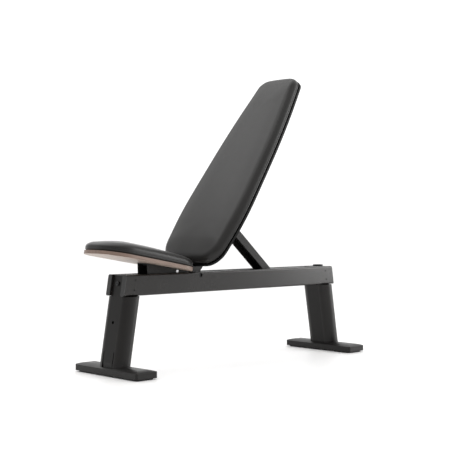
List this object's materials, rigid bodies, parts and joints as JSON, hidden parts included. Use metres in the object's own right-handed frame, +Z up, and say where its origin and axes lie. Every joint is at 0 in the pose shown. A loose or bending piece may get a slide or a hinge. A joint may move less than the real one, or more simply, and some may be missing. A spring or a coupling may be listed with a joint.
{
  "type": "adjustable weight bench",
  "caption": "Weight bench with two splayed legs on flat feet, a twin-rail beam, a tapered backrest that reclines on a propping strut, and a short tilting seat.",
  "frame": {"origin": "on the floor, under the middle of the whole bench", "axes": "+Z up; +X along the beam, from the seat end to the end the backrest leans towards; +Y across the bench, to the far side"},
  "size_m": [1.3252, 0.376, 1.1851],
  "materials": {
    "painted_steel": "satin black powder coat",
    "cover_shell": "satin black powder coat on a pressed shell",
    "foot_casting": "fine-textured black paint",
    "black_bolt": "black oxide",
    "bright_steel": "ground and plated",
    "black_plastic": "moulded, fine grain",
    "bronze_bush": "turned",
    "foot_rubber": "matt",
    "seat_plywood": "sealed birch ply",
    "back_board": "ply stained black",
    "vinyl": "fine-grained black upholstery vinyl over foam"
  },
  "bodies": {
    "beam": {"near_rail": "painted_steel", "far_rail": "painted_steel", "rail_end_caps": "black_plastic", "beam_spacers": "painted_steel", "front_foot": "foot_casting", "rear_foot": "foot_casting", "foot_pads": "foot_rubber", "front_leg_tube": "painted_steel", "rear_leg_tube": "painted_steel", "front_leg_near_cover": "cover_shell", "front_leg_far_cover": "cover_shell", "rear_leg_near_cover": "cover_shell", "rear_leg_far_cover": "cover_shell", "leg_top_caps": "black_plastic", "rail_bolts": "black_bolt", "leg_end_bolts": "black_bolt", "rear_bumper": "foot_rubber", "backrest_pivot_shaft": "bright_steel", "position_rack": "painted_steel", "seat_hinge_block": "painted_steel", "seat_hinge_bush": "bronze_bush"},
    "backrest": {"backrest_spine": "painted_steel", "backrest_pivot_bushes": "black_plastic", "backrest_mount_plate": "painted_steel", "backrest_board": "back_board", "backrest_pad": "vinyl", "backrest_board_bolts": "black_bolt", "backrest_board_inserts": "bright_steel", "strut_upper_pin": "bright_steel", "strut_spacers": "black_plastic"},
    "strut": {"strut": "painted_steel", "strut_lower_pin": "bright_steel"},
    "seat": {"seat_bracket": "painted_steel", "seat_board": "seat_plywood", "seat_pad": "vinyl", "seat_board_bolts": "black_bolt", "seat_board_inserts": "bright_steel", "seat_hinge_pin": "bright_steel"}
  },
  "joints": [
    {"name": "backrest_incline", "type": "hinge", "parent": "beam", "child": "backrest", "pos_m": [-0.179, 0, 0.36], "axis": [0, -1, 0], "range_deg": [-54.5, 0]},
    {"name": "strut_swing", "type": "hinge", "parent": "backrest", "child": "strut", "pos_m": [-0.02221, 0, 0.57981], "axis": [0, -1, 0], "range_deg": [-0.5, 92]},
    {"name": "seat_tilt", "type": "hinge", "parent": "beam", "child": "seat", "pos_m": [-0.281, 0, 0.378], "axis": [0, -1, 0], "range_deg": [0, 10]}
  ],
  "couplings": [
    {"joint": "strut_swing", "follows": "backrest_incline", "ratio": -1.68}
  ]
}
